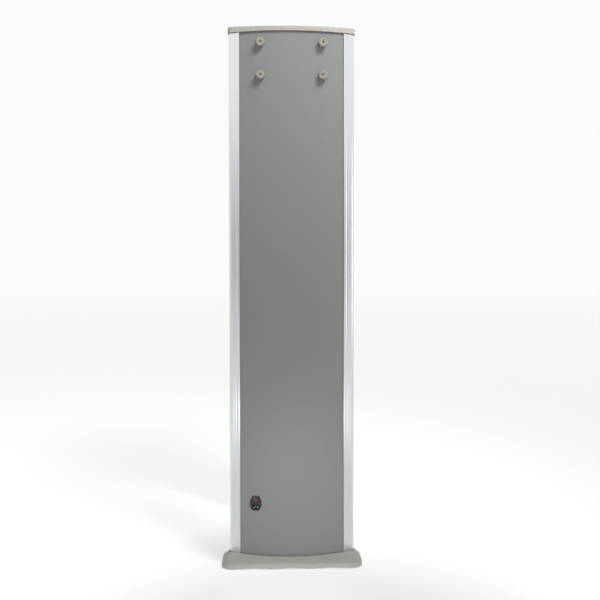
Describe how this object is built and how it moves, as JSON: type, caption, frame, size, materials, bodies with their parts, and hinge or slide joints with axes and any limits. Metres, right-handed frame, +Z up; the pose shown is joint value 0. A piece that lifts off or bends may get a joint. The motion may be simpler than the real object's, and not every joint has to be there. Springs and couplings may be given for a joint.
{
  "type": "walk-through security gate",
  "caption": "Walk-through security gate: two bowed coil uprights on sloped feet, joined by an electronics crossbeam with hand bolts; mains inlet low on one side.",
  "frame": {"origin": "on the floor, in the middle of the passage", "axes": "+Z up, +X across the passage towards the upright with the mains inlet, +Y the walking direction, towards the service door's side"},
  "size_m": [0.915, 0.58, 2.22],
  "materials": {
    "board_laminate": "satin grey laminated board with a very fine grain",
    "profile_aluminium": "drawn and anodised silver, fine lengthwise lines",
    "cap_plastic": "moulded warm light grey, fine texture",
    "foot_plastic": "moulded mid grey, fine texture",
    "plain_steel": "zinc plated",
    "rubber_pads": "matt moulded",
    "core_wood": "plain plywood and fibre board",
    "coil_copper": "enamelled winding wire, taped",
    "bolt_plastic": "moulded grip over a steel stud",
    "inlet_plastic": "black moulded",
    "nickel_pins": "nickel plated",
    "rocker_red": "dark red moulded",
    "fuse_glass": "clear tube with end caps",
    "cable_sheath": "flexible sheath",
    "sensor_lens": "dark red infrared filter",
    "beam_paint": "light grey powder coat",
    "window_acrylic": "smoked acrylic",
    "circuit_board": "green solder mask",
    "alarm_red": "translucent red diffuser",
    "key_rubber": "soft touch keys"
  },
  "bodies": {
    "gate": {"outer_board_right": "board_laminate", "outer_board_left": "board_laminate", "inner_board_right": "board_laminate", "inner_board_left": "board_laminate", "front_profile_right": "profile_aluminium", "rear_profile_right": "profile_aluminium", "front_profile_left": "profile_aluminium", "rear_profile_left": "profile_aluminium", "top_cap_right": "cap_plastic", "top_cap_left": "cap_plastic", "foot_cover_right": "foot_plastic", "foot_cover_left": "foot_plastic", "foot_plate_right": "plain_steel", "foot_plate_left": "plain_steel", "floor_pads": "rubber_pads", "head_blocks": "core_wood", "foot_blocks": "core_wood", "coil_cores": "core_wood", "transmit_coil": "coil_copper", "receive_coil": "coil_copper", "bolt_sleeves": "plain_steel", "inlet_housing": "inlet_plastic", "inlet_pins": "nickel_pins", "inlet_screws": "plain_steel", "power_cable": "cable_sheath", "coil_leads": "cable_sheath", "beam_emitters": "sensor_lens", "beam_receivers": "sensor_lens", "cap_screws": "plain_steel", "foot_screws": "plain_steel", "beam_shell": "beam_paint", "weld_bushes": "plain_steel", "front_panel": "beam_paint", "display_window": "window_acrylic", "display_board": "circuit_board", "alarm_lens": "alarm_red", "siren": "inlet_plastic", "door_hinge_pin": "plain_steel", "main_board": "circuit_board", "power_supply": "nickel_pins", "board_standoffs": "plain_steel", "panel_screws": "plain_steel", "cable_grommets": "rubber_pads"},
    "hand_bolt_right_1": {"hand_bolt_right_1": "bolt_plastic"},
    "hand_bolt_right_2": {"hand_bolt_right_2": "bolt_plastic"},
    "hand_bolt_right_3": {"hand_bolt_right_3": "bolt_plastic"},
    "hand_bolt_right_4": {"hand_bolt_right_4": "bolt_plastic"},
    "hand_bolt_left_1": {"hand_bolt_left_1": "bolt_plastic"},
    "hand_bolt_left_2": {"hand_bolt_left_2": "bolt_plastic"},
    "hand_bolt_left_3": {"hand_bolt_left_3": "bolt_plastic"},
    "hand_bolt_left_4": {"hand_bolt_left_4": "bolt_plastic"},
    "rocker": {"power_rocker": "rocker_red"},
    "fuse_tray": {"fuse_drawer": "inlet_plastic", "fuse": "fuse_glass"},
    "key_1": {"key_1": "key_rubber"},
    "key_2": {"key_2": "key_rubber"},
    "key_3": {"key_3": "key_rubber"},
    "key_4": {"key_4": "key_rubber"},
    "service_door": {"service_door": "beam_paint"},
    "door_lock": {"door_lock": "nickel_pins"}
  },
  "joints": [
    {"name": "hand_bolt_right_1_turn", "type": "hinge", "parent": "gate", "child": "hand_bolt_right_1", "pos_m": [0.41, -0.128, 2.019], "axis": [1, 0, 0], "continuous": true},
    {"name": "hand_bolt_right_2_turn", "type": "hinge", "parent": "gate", "child": "hand_bolt_right_2", "pos_m": [0.41, 0.128, 2.019], "axis": [1, 0, 0], "continuous": true},
    {"name": "hand_bolt_right_3_turn", "type": "hinge", "parent": "gate", "child": "hand_bolt_right_3", "pos_m": [0.41, -0.128, 2.152], "axis": [1, 0, 0], "continuous": true},
    {"name": "hand_bolt_right_4_turn", "type": "hinge", "parent": "gate", "child": "hand_bolt_right_4", "pos_m": [0.41, 0.128, 2.152], "axis": [1, 0, 0], "continuous": true},
    {"name": "hand_bolt_left_1_turn", "type": "hinge", "parent": "gate", "child": "hand_bolt_left_1", "pos_m": [-0.41, -0.128, 2.019], "axis": [-1, 0, 0], "continuous": true},
    {"name": "hand_bolt_left_2_turn", "type": "hinge", "parent": "gate", "child": "hand_bolt_left_2", "pos_m": [-0.41, 0.128, 2.019], "axis": [-1, 0, 0], "continuous": true},
    {"name": "hand_bolt_left_3_turn", "type": "hinge", "parent": "gate", "child": "hand_bolt_left_3", "pos_m": [-0.41, -0.128, 2.152], "axis": [-1, 0, 0], "continuous": true},
    {"name": "hand_bolt_left_4_turn", "type": "hinge", "parent": "gate", "child": "hand_bolt_left_4", "pos_m": [-0.41, 0.128, 2.152], "axis": [-1, 0, 0], "continuous": true},
    {"name": "power_switch_rock", "type": "hinge", "parent": "gate", "child": "rocker", "pos_m": [0.40192, -0.14944, 0.2745], "axis": [0, 0, 1], "range_deg": [0, 16]},
    {"name": "fuse_drawer_pull", "type": "slide", "parent": "gate", "child": "fuse_tray", "axis": [0.9937, -0.1119, 0], "range_m": [0, 0.017]},
    {"name": "key_1_press", "type": "slide", "parent": "gate", "child": "key_1", "axis": [0, 1, 0], "range_m": [0, 0.002], "stiffness_N_per_m": 400, "springref_m": -0.0005},
    {"name": "key_2_press", "type": "slide", "parent": "gate", "child": "key_2", "axis": [0, 1, 0], "range_m": [0, 0.002], "stiffness_N_per_m": 400, "springref_m": -0.0005},
    {"name": "key_3_press", "type": "slide", "parent": "gate", "child": "key_3", "axis": [0, 1, 0], "range_m": [0, 0.002], "stiffness_N_per_m": 400, "springref_m": -0.0005},
    {"name": "key_4_press", "type": "slide", "parent": "gate", "child": "key_4", "axis": [0, 1, 0], "range_m": [0, 0.002], "stiffness_N_per_m": 400, "springref_m": -0.0005},
    {"name": "service_door_open", "type": "hinge", "parent": "gate", "child": "service_door", "pos_m": [0, 0.155, 1.9955], "axis": [-1, 0, 0], "range_deg": [0, 100]},
    {"name": "door_lock_turn", "type": "hinge", "parent": "service_door", "child": "door_lock", "pos_m": [0, 0.152, 2.1565], "axis": [0, -1, 0], "range_deg": [0, 90]}
  ]
}
